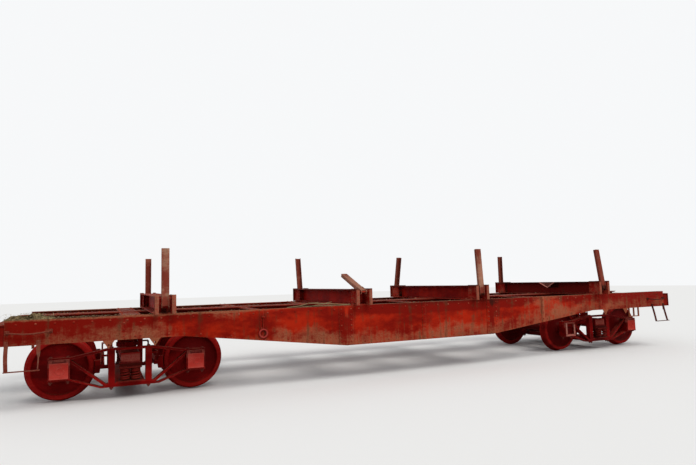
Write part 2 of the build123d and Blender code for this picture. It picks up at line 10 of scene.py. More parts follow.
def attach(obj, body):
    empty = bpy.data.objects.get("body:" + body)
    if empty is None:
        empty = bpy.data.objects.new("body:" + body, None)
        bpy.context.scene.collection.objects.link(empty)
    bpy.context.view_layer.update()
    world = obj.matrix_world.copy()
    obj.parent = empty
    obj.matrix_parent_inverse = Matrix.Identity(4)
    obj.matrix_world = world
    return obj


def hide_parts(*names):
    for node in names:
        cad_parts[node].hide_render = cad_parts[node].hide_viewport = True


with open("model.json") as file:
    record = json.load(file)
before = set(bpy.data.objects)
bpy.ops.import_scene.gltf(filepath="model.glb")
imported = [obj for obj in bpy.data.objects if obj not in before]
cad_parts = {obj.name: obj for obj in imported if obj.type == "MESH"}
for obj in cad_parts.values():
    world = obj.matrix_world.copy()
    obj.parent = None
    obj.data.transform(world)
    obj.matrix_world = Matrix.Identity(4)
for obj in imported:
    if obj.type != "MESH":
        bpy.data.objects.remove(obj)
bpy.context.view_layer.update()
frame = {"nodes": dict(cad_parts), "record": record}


# Side sills: two deep steel plates with their flanges turned in, painted barn red many times over.
# The paint is bright where it is thick, pink and tan where it has chalked, and brown where rust runs.
class Field:
    """A value that varies over a surface. Sums on it make Math nodes, and node() makes any other."""

    def __init__(self, tree, socket=None):
        self.tree = tree
        self.socket = socket

    def node(self, kind, settings=None, inputs=None, output=0):
        """Adds a node: its settings first, then the values or links of its sockets."""
        new = self.tree.nodes.new(kind)
        for name, value in (settings or {}).items():
            setattr(new, name, value)
        for name, value in (inputs or {}).items():
            if isinstance(value, Field):
                self.tree.links.new(value.socket, new.inputs[name])
            else:
                new.inputs[name].default_value = value
        return Field(self.tree, new.outputs[output] if len(new.outputs) else None)

    def math(self, operation, first, second):
        """A Math node on two values, of which either may be a number."""
        return self.node("ShaderNodeMath", {"operation": operation}, {0: first, 1: second})

    def __add__(self, other):
        return self.math("ADD", self, other)

    def __sub__(self, other):
        return self.math("SUBTRACT", self, other)

    def __rsub__(self, other):
        return self.math("SUBTRACT", other, self)

    def __mul__(self, other):
        return self.math("MULTIPLY", self, other)

    def __abs__(self):
        return self.math("ABSOLUTE", self, 0.0)

    __radd__ = __add__
    __rmul__ = __mul__

    def axis(self, index):
        """One part of a vector: 0, 1 or 2 for X, Y or Z."""
        return self.node("ShaderNodeSeparateXYZ", inputs={0: self}, output=index)

    def rise(self, low, high):
        """0 where this is under low, 1 where it is over high, with a smooth step between."""
        sockets = {"Value": self, "From Min": low, "From Max": high}
        return self.node("ShaderNodeMapRange", {"interpolation_type": "SMOOTHSTEP"}, sockets)

    def near(self, centre, reach):
        """1 within 0.4 of the reach from the centre and 0 past 1.5 of it, with a smooth step between."""
        return 1 - abs(self - centre).rise(0.4 * reach, 1.5 * reach)

    def mix(self, first, second):
        """The first colour where this is 0 and the second where it is 1."""
        return self.node("ShaderNodeMix", {"data_type": "RGBA"}, {0: self, 6: first, 7: second}, 2)

    def noise(self, scale, detail, rough, stretch=(1, 1, 1), shift=(0, 0, 0)):
        """Cloudy pattern at this place, from 0 to 1, finer where a stretch is larger."""
        place = self.node("ShaderNodeMapping", inputs={"Vector": self, "Scale": stretch, "Location": shift})
        sockets = {"Vector": place, "Scale": scale, "Detail": detail, "Roughness": rough}
        return self.node("ShaderNodeTexNoise", inputs=sockets)


rust_dark = (0.030, 0.008, 0.004, 1)
rust_brown = (0.085, 0.026, 0.010, 1)
dust_tan = (0.21, 0.100, 0.058, 1)
black = (0.0, 0.0, 0.0, 1)
paint_shine = 0.05
worn_edge = 0.010
corner_rust_and_shade_reach = 0.05
relief = 0.003


def weathered(name, deep, bright, faded, fade, streaks, dust, rust, wear_and_painted_light=None, depth_and_shade=None, edge=0.6):
    """Old paint on steel.

    Colour goes from deep to bright by a broad noise less the given depth and painted shade, to the faded
    colour where a second noise plus the given wear and painted light is high and along edges, to brown down
    narrow upright streaks, to dark in small chips, to rust and painted shade in corners and where the depth
    and painted shade is large, and to dust on tops.
    """
    paint = bpy.data.materials.new(name)
    paint.use_nodes = True
    paint.node_tree.nodes.clear()
    start = Field(paint.node_tree)
    place = start.node("ShaderNodeTexCoord", output="Object")
    outward = start.node("ShaderNodeTexCoord", output="Normal")
    broad = place.noise(scale=1.7, detail=5, rough=0.6, stretch=(0.6, 1, 1.4))
    patches = place.noise(scale=6.5, detail=7, rough=0.7, stretch=(0.7, 1, 1.2), shift=(3, 1, 2))
    runs = place.noise(scale=1.0, detail=6, rough=0.6, stretch=(17, 17, 1.4), shift=(1, 5, 0))
    grain = place.noise(scale=48, detail=5, rough=0.62)
    pits = place.noise(scale=160, detail=3, rough=0.5)

    tone = broad + (patches - 0.5) * 0.5
    # The depth functions lower the tone; in some of them that is painted shade.
    if depth_and_shade:
        deepened_and_shaded = depth_and_shade(place)
        tone = tone - deepened_and_shaded
    colour = tone.rise(0.36, 0.64).mix(deep, bright)

    worn = patches + (broad - 0.5) * 0.5 + (runs - 0.5) * (0.9 * streaks)
    # The wear functions raise the fading; the sill's also holds a painted highlight, and the stakes' keep the
    # pockets deep as painted shade.
    if wear_and_painted_light:
        worn = worn + wear_and_painted_light(place)
    fading = worn.rise(0.70 - 0.3 * fade, 1.12 - 0.3 * fade)
    mottled = fading * (0.45 + 0.55 * grain.rise(0.32, 0.62))
    colour = mottled.mix(colour, faded)
    running = (runs + (patches - 0.5) * 0.7).rise(0.60 - 0.12 * streaks, 0.86 - 0.12 * streaks)
    colour = (running * (0.8 * streaks)).mix(colour, rust_brown)

    rounded = start.node("ShaderNodeBevel", {"samples": 4}, {"Radius": worn_edge})
    normal = start.node("ShaderNodeNewGeometry", output="Normal")
    dot = {"operation": "DOT_PRODUCT"}
    bend = 1 - normal.node("ShaderNodeVectorMath", dot, {0: normal, 1: rounded}, "Value")
    # Ambient occlusion darkens corners towards rust_dark: rust gathered there, and painted shade.
    open_air = start.node("ShaderNodeAmbientOcclusion", {"samples": 4, "only_local": True},
                          {"Distance": corner_rust_and_shade_reach}, "AO")
    corner = 1 - open_air.rise(0.35, 0.85)
    edges = bend.rise(0.02, 0.16) * open_air.rise(0.5, 0.8) * grain.rise(0.35, 0.6)
    colour = (edges * edge).mix(colour, faded)
    chips = (grain + (worn - 0.5) * 0.08).rise(0.69 - 0.08 * rust, 0.78 - 0.08 * rust)
    colour = (chips * 0.6).mix(colour, rust_dark)
    colour = (corner * rust).mix(colour, rust_dark)
    # Where the depth is large the colour goes dark, which in some paints is painted shade.
    if depth_and_shade:
        colour = (deepened_and_shaded.rise(0.8, 1.4) * 0.85).mix(colour, rust_dark)
    speck = pits.rise(0.35, 0.7)
    colour = (speck * 0.2).mix(colour, black)
    upward = outward.axis(2).rise(0.55, 0.9)
    lying = upward * (grain + (patches - 0.5) * 0.9 + 0.2 * dust).rise(0.50, 0.68)
    rusted = (upward * (0.6 * rust)).mix(colour, rust_dark)
    colour = (lying * (0.8 * dust)).mix(rusted, dust_tan)

    rough = 0.6 + 0.2 * fading + 0.14 * chips + 0.1 * speck + 0.15 * lying
    height = broad * 2.5 + grain * 0.35 + pits * 0.12 + patches * 0.5 - chips * 0.35 + running * 0.1
    bump = height.node("ShaderNodeBump", inputs={"Strength": 0.6, "Distance": relief, "Height": height})
    shader = start.node("ShaderNodeBsdfPrincipled", inputs={
        "Base Color": colour, "Roughness": rough, "Normal": bump, "Specular IOR Level": paint_shine})
    start.node("ShaderNodeOutputMaterial", inputs={"Surface": shader})
    return paint


splice_x = 1.446
belly_x = (splice_x, 3.95)
belly_z = (0.54, 0.848)
sill_top = 1.165
band_tall = 0.18
pale_strap_x = 2.65
ring_x = 2.80

# Marks seen on the near sill: place along the car, height, half width, half height, fading, darkening
fading_column, darkening_column = 4, 5
# The darkening on the near binder ring's line is partly painted shadow of the ring's rod.
sill_marks = [(-3.65, 0.92, 0.48, 0.15, -0.30, -0.05), (-3.38, 1.09, 0.20, 0.09, 0.28, 0.0),
              (2.72, 1.10, 0.35, 0.10, 0.22, -0.30), (4.90, 1.05, 0.60, 0.10, 0.0, 0.2),
              (-ring_x, 0.93, 0.05, 0.14, 0.0, 0.25), (-2.50, 0.90, 0.09, 0.22, 0.13, 0.0),
              (-1.97, 0.78, 0.20, 0.14, 0.16, 0.0), (-1.72, 0.68, 0.16, 0.10, 0.12, 0.0),
              (-splice_x, 0.80, 0.13, 0.30, 0.0, 0.15), (-1.442, 1.05, 0.03, 0.08, 0.16, -0.25),
              (1.43, 0.85, 0.04, 0.40, 0.0, 0.35), (1.50, 1.00, 0.10, 0.13, 0.0, 0.45),
              (2.40, 0.98, 0.22, 0.12, 0.16, 0.0), (pale_strap_x, 0.90, 0.036, 0.40, 0.30, -0.2),
              (3.05, 0.90, 0.18, 0.10, 0.24, 0.0), (-6.10, 1.00, 0.50, 0.30, -0.12, 0.1),
              (3.60, 1.05, 0.12, 0.06, 0.0, 0.3), (-2.92, 0.82, 0.26, 0.13, -0.20, 0.0),
              (-2.10, 0.92, 0.42, 0.15, 0.0, -0.16), (0.55, 0.76, 0.40, 0.10, 0.10, 0.0),
              (-0.60, 1.00, 0.30, 0.12, 0.0, -0.15)]


def marked(place, column):
    """Sum of one column of the marks, each spread over its own patch."""
    total = 0
    for mark in sill_marks:
        x, z, half_x, half_z = mark[:4]
        if mark[column]:
            total = total + place.axis(0).near(x, half_x) * place.axis(2).near(z, half_z) * mark[column]
    return total


def sill_wear_and_highlight(place):
    """Fading along the sill's lower edge, which falls from its ends to its belly, and on its lugs; along its
    top, worn paint and a painted highlight, most at the left end.
    """
    from_middle = abs(place.axis(0))
    lower_edge = place.node("ShaderNodeMapRange", inputs={
        "Value": from_middle, "From Min": belly_x[0], "From Max": belly_x[1],
        "To Min": belly_z[0], "To Max": belly_z[1]})
    low_band = 1 - (place.axis(2) - lower_edge).rise(0.3 * band_tall, 1.9 * band_tall)
    along_top = 0.5 - 0.4 * place.axis(0).rise(-3.2, -2.4)
    # A pale band along the top edge, most at the left end: worn paint and a painted highlight.
    top_edge_wear_and_highlight = place.axis(2).rise(sill_top - 0.040, sill_top - 0.007) * along_top
    lugs = (1 - place.axis(2).rise(0.835, 0.850)) * from_middle.rise(4.1, 4.2)
    return low_band * 0.32 + top_edge_wear_and_highlight + lugs * 0.65 + marked(place, fading_column)


def sill_depth(place):
    """Darker towards the left end, along the top right of the middle, and in the dark marks."""
    right_half = place.axis(0).rise(-1.5, -0.5) - 0.6 * place.axis(0).rise(1.7, 2.5)
    top = place.axis(2).rise(0.96, sill_top) * right_half * 1.1
    left_end = (1 - place.axis(0).rise(-5.2, -2.4)) * 0.22 + (1 - place.axis(0).rise(-6.25, -5.5)) * 0.75
    return left_end + top + marked(place, darkening_column)


sill_paint = weathered("sill_paint", (0.235, 0.006, 0.002, 1), (0.500, 0.020, 0.004, 1),
                       (0.400, 0.130, 0.064, 1), fade=0.42, streaks=0.8, dust=1.15, rust=0.6,
                       wear_and_painted_light=sill_wear_and_highlight, depth_and_shade=sill_depth)

nodes = frame["nodes"]
members_of = frame["record"]["behaviour"]["bodies"]
body_of = {node: body for body, members in members_of.items() for node in members}
plate_edge = 0.0015
sharp_angle = 35
flat_angle = 0.5
merge_reach = 1e-5


def show(name, mesh, paint, body):
    """Puts a mesh in the scene with its finish and lets it move with a body."""
    piece = bpy.data.objects.new(name, mesh)
    bpy.context.scene.collection.objects.link(piece)
    mesh.materials.clear()
    mesh.materials.append(paint)
    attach(piece, body)
    return piece


def softened(node, width, paint):
    """The node's own surface with its triangles joined into flat faces and its edges rounded."""
    shape = bmesh.new()
    shape.from_mesh(nodes[node].data)
    bmesh.ops.remove_doubles(shape, verts=shape.verts, dist=merge_reach)
    bmesh.ops.dissolve_limit(shape, angle_limit=radians(flat_angle), verts=shape.verts, edges=shape.edges)
    mesh = bpy.data.meshes.new(node + "_finish")
    shape.to_mesh(mesh)
    shape.free()
    mesh.shade_smooth()
    piece = show(node + "_finish", mesh, paint, body_of[node])
    edges = piece.modifiers.new("rounded_edges", "BEVEL")
    edges.width = width
    edges.segments = 2
    edges.limit_method = "ANGLE"
    edges.angle_limit = radians(sharp_angle)
    edges.harden_normals = True
    edges.loop_slide = False
    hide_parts(node)


for node in ("side_sill_near", "side_sill_far"):
    softened(node, plate_edge, sill_paint)


# Rivets: button heads that hold the flange angles, the straps and the cross members to each sill.
# They were driven hot and stand 9 mm proud, and their paint is worn pale on the crown.
rivet_radius = 0.0145
rivet_height = 0.009
rivet_sharp_angle = 60
sill_y = 1.456
strap_y = 1.464
row_end_x = 5.95
row_pitch = 0.215
row_z = 1.110
row_above_edge = 0.045
strap_row_top = 1.12
strap_above_edge = 0.06
strap_pitch = 0.12
splice_row_half = 0.085
splice_row_z = np.arange(0.60, strap_row_top, 0.085)
web_row_z = np.arange(0.9, 1.08, 0.085)
plain_strap_x = (-2.82, 0.0, pale_strap_x, 4.17)
bolster_web_x = (-4.705, -4.495, 4.495, 4.705)


def grid(rows, columns, wrap=True):
    """Quads between rows of points, as indices; with wrap, each row closes on itself."""
    row = np.arange(rows - 1)[:, None] * columns
    here = np.arange(columns if wrap else columns - 1)[None, :]
    after = (here + 1) % columns
    return np.stack([row + here, row + after, row + columns + after, row + columns + here], -1).reshape(-1, 4)


def turned(profile, sides, cap_start=True, cap_end=True):
    """Surface of revolution about Z: a point at radius r and height z goes round in equal turns.

    Point i, j is (r_i cos a_j, r_i sin a_j, z_i) with a_j = 2 pi j / sides.
    """
    profile = np.array(profile, float)
    angle = np.arange(sides) * 2 * pi / sides
    ring = np.stack([np.cos(angle), np.sin(angle)], -1)
    flat = profile[:, None, 0, None] * ring[None]
    high = np.broadcast_to(profile[:, None, 1, None], (len(profile), sides, 1))
    points = np.concatenate([flat, high], -1).reshape(-1, 3)
    faces = grid(len(profile), sides).tolist()
    if cap_start:
        faces.append(list(range(sides))[::-1])
    if cap_end:
        faces.append(list(range((len(profile) - 1) * sides, len(profile) * sides)))
    return points, faces


def scattered(shape, places, frames=None):
    """Copies of one shape, each turned by its own 3 by 3 frame and moved to its place."""
    points, faces = shape
    places = np.array(places, float)
    if frames is None:
        frames = np.broadcast_to(np.eye(3), (len(places), 3, 3))
    many = np.einsum("nij,pj->npi", np.array(frames, float), points) + places[:, None, :]
    starts = np.arange(len(places)) * len(points)
    copies = [[start + corner for corner in face] for start in starts.tolist() for face in faces]
    return many.reshape(-1, 3), copies


def new_piece(name, shape, paint, body, sharp=sharp_angle):
    """A mesh piece from points and faces, shaded smooth up to the given angle."""
    mesh = bpy.data.meshes.new(name)
    mesh.from_pydata(shape[0].tolist(), [], [list(face) for face in shape[1]])
    mesh.shade_smooth()
    mesh.set_sharp_from_angle(angle=radians(sharp))
    return show(name, mesh, paint, body)


def facing(axis, side):
    """Frame whose Z points along X, Y or Z, forwards or backwards."""
    out = np.zeros(3)
    out[axis] = side
    first = np.roll(np.abs(out), 1)
    return np.stack([first, np.cross(out, first), out], -1)


def belly(x):
    """Height of the sill's lower edge."""
    return np.interp(np.abs(x), belly_x, belly_z)


quarter = np.linspace(0, pi / 2, 4)
dome_profile = np.stack([rivet_radius * np.cos(quarter), rivet_height * np.sin(quarter)], -1)[:-1]
dome = turned(dome_profile, 10, cap_start=False)

along = np.arange(-row_end_x, row_end_x, row_pitch)
rows = [(x, row_z, sill_y) for x in along]
rows += [(x, belly(x) + row_above_edge, sill_y) for x in along[::2] + 0.1]
for splice in (-splice_x, splice_x):
    for x in (splice - splice_row_half, splice + splice_row_half):
        rows += [(x, z, strap_y) for z in splice_row_z]
for strap in plain_strap_x:
    strap_row_z = np.arange(belly(strap) + strap_above_edge, strap_row_top, strap_pitch)
    rows += [(strap, z, strap_y) for z in strap_row_z]
for web in bolster_web_x:
    rows += [(web, z, sill_y) for z in web_row_z]
rivet_paint = weathered("rivet_paint", (0.240, 0.008, 0.003, 1), (0.380, 0.060, 0.030, 1),
                        (0.480, 0.240, 0.150, 1), fade=0.75, streaks=0.2, dust=0.2, rust=0.5)
for side, side_name in ((-1, "near"), (1, "far")):
    places = [(x * -side, side * y, z) for x, z, y in rows]
    heads = scattered(dome, places, [facing(1, side)] * len(places))
    new_piece("sill_rivets_" + side_name, heads, rivet_paint, "underframe", rivet_sharp_angle)


# Centre sill, end sills, crossbearers and body bolsters: riveted plate work between the side sills.
# They stand in the shade of the car, so their paint kept its depth and rusts from the edges.
frame_paint = weathered("frame_paint", (0.150, 0.004, 0.002, 1), (0.290, 0.011, 0.004, 1),
                        (0.300, 0.090, 0.050, 1), fade=0.3, streaks=0.5, dust=0.55, rust=0.7)
plate_work = ["centre_sill", "end_sill_left", "end_sill_right", "body_bolster_left", "body_bolster_right"]
plate_work += [name for name in nodes if name.startswith("crossbearer_")]
for node in plate_work:
    softened(node, plate_edge, frame_paint)

end_face = 6.233
truck_x = 4.6
bunk_xs = (-4.188, -1.168, 1.168, 4.188)
bearer_xs = (-2.82, -splice_x, 0.0, splice_x, pale_strap_x)
bunk_clear = 0.17
cover_row_x = np.arange(-5.9, 6.0, 0.295)
cover_row_y = 0.215
flange_row_y = 1.405
bearer_row_y = (0.36, 0.62, 0.88, 1.14)
bearer_row_half = 0.045
bolster_row_half = 0.105
bearer_sunk = 0.010
end_row_y = np.arange(0.22, 1.44, 0.2)
end_row_z = (0.885, 1.082)


def joined(shapes):
    """Several shapes as one."""
    points = np.concatenate([shape[0] for shape in shapes])
    faces = []
    start = 0
    for shape in shapes:
        faces += [[start + corner for corner in face] for face in shape[1]]
        start += len(shape[0])
    return points, faces


spots = [(x, y, sill_top) for x in cover_row_x for y in (-cover_row_y, cover_row_y)
         if min(abs(x - bunk) for bunk in bunk_xs) > bunk_clear]
member_rows = [(x, bearer_row_half) for x in bearer_xs]
for x, reach in [(-truck_x, bolster_row_half)] + member_rows + [(truck_x, bolster_row_half)]:
    spots += [(x + edge * reach, y, sill_top) for edge in (-1, 1) for y in (-flange_row_y, flange_row_y)]
    spots += [(x + edge * reach, side * y, sill_top - bearer_sunk) for edge in (-1, 1) for side in (-1, 1)
              for y in bearer_row_y]
deck = scattered(dome, spots, [facing(2, 1)] * len(spots))
spots = [(end * end_face, side * y, z) for end in (-1, 1) for side in (-1, 1) for z in end_row_z
         for y in end_row_y]
ends = scattered(dome, spots, [facing(0, np.sign(x)) for x, y, z in spots])
new_piece("frame_rivets", joined([deck, ends]), rivet_paint, "underframe", rivet_sharp_angle)


# Couplers: cast steel knuckle heads on shanks, left rough from the sand and rusted brown.
# Only thin old paint is left on them.
cast_paint = weathered("cast_paint", (0.075, 0.012, 0.008, 1), (0.120, 0.030, 0.018, 1),
                       (0.180, 0.090, 0.060, 1), fade=0.4, streaks=0.2, dust=0.6, rust=0.9)
cast_edge = 0.008
for node in ("coupler_left", "coupler_right"):
    softened(node, cast_edge, cast_paint)


# Corner irons: a step of bent strap and a round grab iron at each corner, riveted to the sill's face.
# They wore to a dusty pink. One leg on the left near side is twisted, and the right near step leans out.
# The right near step takes a darker copy of the paint, which is painted shade.
iron_paint = weathered("iron_paint", (0.170, 0.022, 0.012, 1), (0.240, 0.055, 0.032, 1),
                       (0.330, 0.170, 0.115, 1), fade=0.7, streaks=0.4, dust=0.3, rust=0.4)
shaded_iron_paint = weathered("shaded_iron_paint", (0.060, 0.010, 0.007, 1), (0.110, 0.020, 0.012, 1),
                            (0.180, 0.070, 0.045, 1), fade=0.3, streaks=0.4, dust=0.3, rust=0.7)
leaning_corner = (1, -1)
twisted_corner = (-1, -1)
step_lean = 0.096
leg_twist = 1.35
step_x = (5.700, 6.048)
step_low = 0.533
step_high = 0.906
leg_wide = 0.045
leg_narrow = 0.033
leg_thick = 0.011
leg_wave = 0.004
tread_deep = 0.042
grab_x = (5.567, 6.042)
grab_z = 1.018
grab_out = 0.062
grab_radius = 0.0095
grab_bend = 0.03
grab_sag = 0.024
palm_half = 0.024
palm_thick = 0.007
palm_rivet = 0.013
step_rivet_z = (0.870, 0.894)
small_head = 0.7


def tube(path, radius, sides=8):
    """Round skin along a path: each point carries a ring in the plane across the path there.

    The ring's first arm is the path's direction crossed with one fixed hint, so it doesn't wring.
    """
    path = np.array(path, float)
    along = np.gradient(path, axis=0)
    along /= np.linalg.norm(along, axis=1, keepdims=True)
    hint = np.array([0.0, 0.0, 1.0]) if abs(along[:, 2]).max() < 0.97 else np.array([0.31, 0.95, 0.05])
    side = np.cross(along, hint)
    side /= np.linalg.norm(side, axis=1, keepdims=True)
    other = np.cross(side, along)
    angle = np.arange(sides) * 2 * pi / sides
    radius = np.broadcast_to(radius, len(path))[:, None, None]
    ring = side[:, None] * np.cos(angle)[None, :, None] + other[:, None] * np.sin(angle)[None, :, None]
    points = (path[:, None] + radius * ring).reshape(-1, 3)
    faces = grid(len(path), sides)[:, ::-1].tolist()
    faces += [list(range(sides)), list(range((len(path) - 1) * sides, len(path) * sides))[::-1]]
    return points, faces


def ribbon(path, wide, thick, twist=0.0):
    """Flat bar along a mostly upright path: wide along X, thick along Y, turned about the path by twist.

    Corners are +-wide/2 (cos t, sin t) +-thick/2 (-sin t, cos t) at each point's own twist t.
    """
    path = np.array(path, float)
    twist = np.broadcast_to(twist, len(path))
    wide = np.broadcast_to(wide, len(path))[:, None]
    flat = np.stack([np.cos(twist), np.sin(twist), 0 * twist], -1) * wide / 2
    edge = np.stack([-np.sin(twist), np.cos(twist), 0 * twist], -1) * thick / 2
    points = np.stack([path - flat - edge, path + flat - edge, path + flat + edge, path - flat + edge], 1)
    faces = grid(len(path), 4).tolist() + [[3, 2, 1, 0], list(range(len(path) * 4 - 4, len(path) * 4))]
    return points.reshape(-1, 3), faces


def slab(low, high):
    """Box between two corners: each corner is low + share * (high - low), its shares 0 or 1."""
    low, high = np.minimum(low, high), np.maximum(low, high)
    share = np.array([(0, 0, 0), (1, 0, 0), (1, 1, 0), (0, 1, 0), (0, 0, 1), (1, 0, 1), (1, 1, 1), (0, 1, 1)])
    faces = [[3, 2, 1, 0], [4, 5, 6, 7], [0, 1, 5, 4], [1, 2, 6, 5], [2, 3, 7, 6], [3, 0, 4, 7]]
    return low + (high - low) * share, faces


def grab_path(end, side):
    """Line of a grab iron: out of the face, round a quarter circle, along and back the same way.

    It sags by half a sine wave over its span.
    """
    turn = np.linspace(0, pi / 2, 5)
    first = np.stack([grab_bend * (1 - np.cos(turn)), grab_out - grab_bend + grab_bend * np.sin(turn)], -1)
    share = np.linspace(0, 1, 13)[1:-1]
    span = grab_x[1] - grab_x[0]
    run = np.stack([grab_bend + (span - 2 * grab_bend) * share, 0 * share + grab_out], -1)
    last = first[::-1] * (-1, 1) + (span, 0)
    flat = np.concatenate([[(0, 0)], first, run, last, [(span, 0)]])
    sag = grab_sag * np.sin(pi * flat[:, 0] / span)
    return np.stack([end * (grab_x[0] + flat[:, 0]), side * (sill_y + flat[:, 1]), grab_z - sag], -1)


def step_leg(x, side, lean, twist, wave):
    """Strap from the sill's face down to the tread.

    Below the sill it leans evenly along the car, with a slow sine wave, and its twist eases in with the
    depth s as 3 s^2 - 2 s^3, where it also narrows.
    """
    z = np.linspace(step_high, step_low, 24)
    below = np.clip((belly_z[1] - z) / (belly_z[1] - step_low), 0, 1)
    ease = np.clip((below - 0.2) / 0.35, 0, 1)
    path = np.stack([x + lean * below + wave * np.sin(4 * below), side * (sill_y + 0.006 + 0 * z), z], -1)
    wide = leg_wide - (leg_wide - leg_narrow) * ease * (abs(twist) > 0)
    return ribbon(path, wide, leg_thick, side * twist * ease * ease * (3 - 2 * ease))


for end, end_name in ((-1, "left"), (1, "right")):
    for side, side_name in ((-1, "near"), (1, "far")):
        leaning = (end, side) == leaning_corner
        lean = end * step_lean if leaning else 0.0
        twist = leg_twist if (end, side) == twisted_corner else 0.0
        legs = [step_leg(end * step_x[0], side, lean, twist, leg_wave),
                step_leg(end * step_x[1], side, lean, 0.0, -leg_wave)]
        edges = [end * x + lean - end * out for x, out in zip(step_x, (leg_wide / 2, -leg_wide / 2))]
        tread = slab((edges[0], side * sill_y, step_low),
                     (edges[1], side * (sill_y + tread_deep), step_low + leg_thick))
        palms = [slab((end * x - palm_half, side * sill_y, grab_z - palm_half),
                      (end * x + palm_half, side * (sill_y + palm_thick), grab_z + palm_half))
                 for x in grab_x]
        heads = [(end * x, side * (sill_y + leg_thick), z) for x in step_x for z in step_rivet_z]
        heads += [(end * x + palm_rivet, side * (sill_y + palm_thick), grab_z - palm_rivet) for x in grab_x]
        rivets = scattered((dome[0] * small_head, dome[1]), heads, [facing(1, side)] * len(heads))
        shape = joined(legs + [tread, tube(grab_path(end, side), grab_radius), rivets] + palms)
        node = "corner_irons_" + end_name + "_" + side_name
        # The leaning step takes the darker copy of the paint, as painted shade.
        finish = shaded_iron_paint if leaning else iron_paint
        irons = new_piece(node + "_finish", shape, finish, "underframe")
        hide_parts(node)


# Uncoupling levers: a round bar along each end sill, from a handle at the corner to the coupler's lock.
# It lies in two brackets and lifts the lock pin by a short chain.
lever_x = end_face + 0.029
lever_radius = 0.0105
chain_radius = 0.006
bracket_half = 0.018
bracket_out = 0.040

# Lines of the right end's lever and chain, which the left end takes turned half round
lever_line = [(lever_x, -1.300, 0.760), (lever_x, -1.290, 0.900), (lever_x, -1.262, 0.945),
              (lever_x, -1.210, 0.956), (lever_x, -0.700, 0.968), (lever_x, -0.190, 0.980),
              (6.270, -0.160, 0.992), (6.300, -0.140, 1.030), (6.360, -0.110, 1.052), (6.440, -0.090, 1.056)]
chain_line = [(6.440, -0.090, 1.056), (6.448, -0.060, 1.052), (6.452, -0.030, 1.044), (6.455, -0.010, 1.034)]
for end, end_name in ((-1, "left"), (1, "right")):
    half_turn = np.array([end, end, 1])
    lever = tube(np.array(lever_line) * half_turn, lever_radius, 10)
    chain = tube(np.array(chain_line) * half_turn, chain_radius, 6)
    brackets = [slab(np.array([end_face, y - bracket_half, z - 0.030]) * half_turn,
                     np.array([end_face + bracket_out, y + bracket_half, z + 0.018]) * half_turn)
                for y, z in ((-1.120, 0.958), (-0.300, 0.977))]
    new_piece("uncoupling_lever_" + end_name, joined([lever, chain] + brackets), iron_paint, "underframe")


# Bunks: rolled beams laid across the sills, with a riveted stake pocket at each end.
# Logs dragged the paint off their top edges, and one top flange is folded down in a V.
pocket_half = 0.098
pocket_y = 1.275
bunk_end_y = 1.574
pin_y = 1.520
pin_z = 1.375


def pocket_wear(place):
    """Fading on the stake pockets, most on their end faces, and along the top of the first bunk."""
    from_middle = abs(place.axis(1))
    pockets = from_middle.rise(pocket_y - 0.010, pocket_y + 0.010)
    end_faces = from_middle.rise(bunk_end_y - 0.003, bunk_end_y)
    first_top = place.axis(2).rise(1.395, 1.405) * (1 - place.axis(0).rise(-3.8, -3.4))
    return pockets * 0.24 + end_faces * 0.3 + first_top * 0.3


def bunk_depth_and_shade(place):
    """Painted shade in the folded flange and low in the mouths of two pockets, and darker along the fourth
    bunk and on three top flanges.
    """
    from_middle = abs(place.axis(1))
    # The fold and the low pocket mouths are painted shade.
    fold_shade = place.axis(0).near(4.10, 0.12) * place.axis(1).near(-0.16, 0.20) * place.axis(2).rise(1.28, 1.31)
    fourth = place.axis(0).rise(3.9, 4.0) * (1 - from_middle.rise(1.2, 1.3))
    scraped = place.axis(2).rise(1.396, 1.404) * place.axis(0).rise(-3.4, -3.0)
    low = (1 - place.axis(2).rise(1.22, 1.30)) * from_middle.rise(pocket_y - 0.015, pocket_y + 0.005)
    mouth_shade = low * (place.axis(0).near(bunk_xs[0], 0.055) + place.axis(0).near(bunk_xs[2], 0.055))
    return fold_shade * 0.6 + fourth * 1.08 + scraped * 1.15 + mouth_shade * 1.3


bunk_paint = weathered("bunk_paint", (0.260, 0.004, 0.002, 1), (0.470, 0.012, 0.004, 1),
                       (0.380, 0.135, 0.080, 1), fade=0.2, streaks=0.65, dust=0.25, rust=0.7,
                       wear_and_painted_light=pocket_wear, depth_and_shade=bunk_depth_and_shade, edge=0.9)
bare_paint = weathered("bare_paint", (0.540, 0.150, 0.115, 1), (0.640, 0.270, 0.210, 1),
                       (0.740, 0.420, 0.330, 1), fade=0.6, streaks=0.2, dust=0.2, rust=0.2)

# Turned shapes: each point is a radius and a height above the plate
washer = turned([(0.034, 0.0), (0.034, 0.004), (0.026, 0.005), (0.026, 0.0135), (0.022, 0.0155)], 20, False)
flange_bolt = turned([(0.020, 0.0), (0.020, 0.014), (0.017, 0.017)], 6)
bolt_out = 0.121
bolt_y = (1.25, 1.40)
bolt_z = 1.179
pocket_row_y = (1.300, 1.345)
pocket_row_z = np.arange(1.215, 1.42, 0.058)
low_rivet_z = 1.20
for number, x in zip("1234", bunk_xs):
    softened("bunk_" + number, plate_edge, bunk_paint)
    places = []
    frames = []
    for side in (-1, 1):
        for edge in (-1, 1):
            wall = x + edge * pocket_half
            spots = [(wall, side * y, z) for y in pocket_row_y for z in pocket_row_z]
            spots += [(wall, side * pin_y, low_rivet_z)]
            places += spots
            frames += [facing(0, edge)] * len(spots)
    domes = scattered(dome, places, frames)
    spots = [(x + edge * bolt_out, side * y, bolt_z) for edge in (-1, 1) for side in (-1, 1) for y in bolt_y]
    bolts = scattered(flange_bolt, spots, [facing(2, 1)] * len(spots))
    spots = [(x + edge * pocket_half, side * pin_y, pin_z) for edge in (-1, 1) for side in (-1, 1)]
    pins = scattered(washer, spots, [facing(0, edge) for edge in (-1, 1) for side in (-1, 1)])
    new_piece("bunk_rivets_" + number, joined([domes, bolts, pins]), rivet_paint, "underframe")

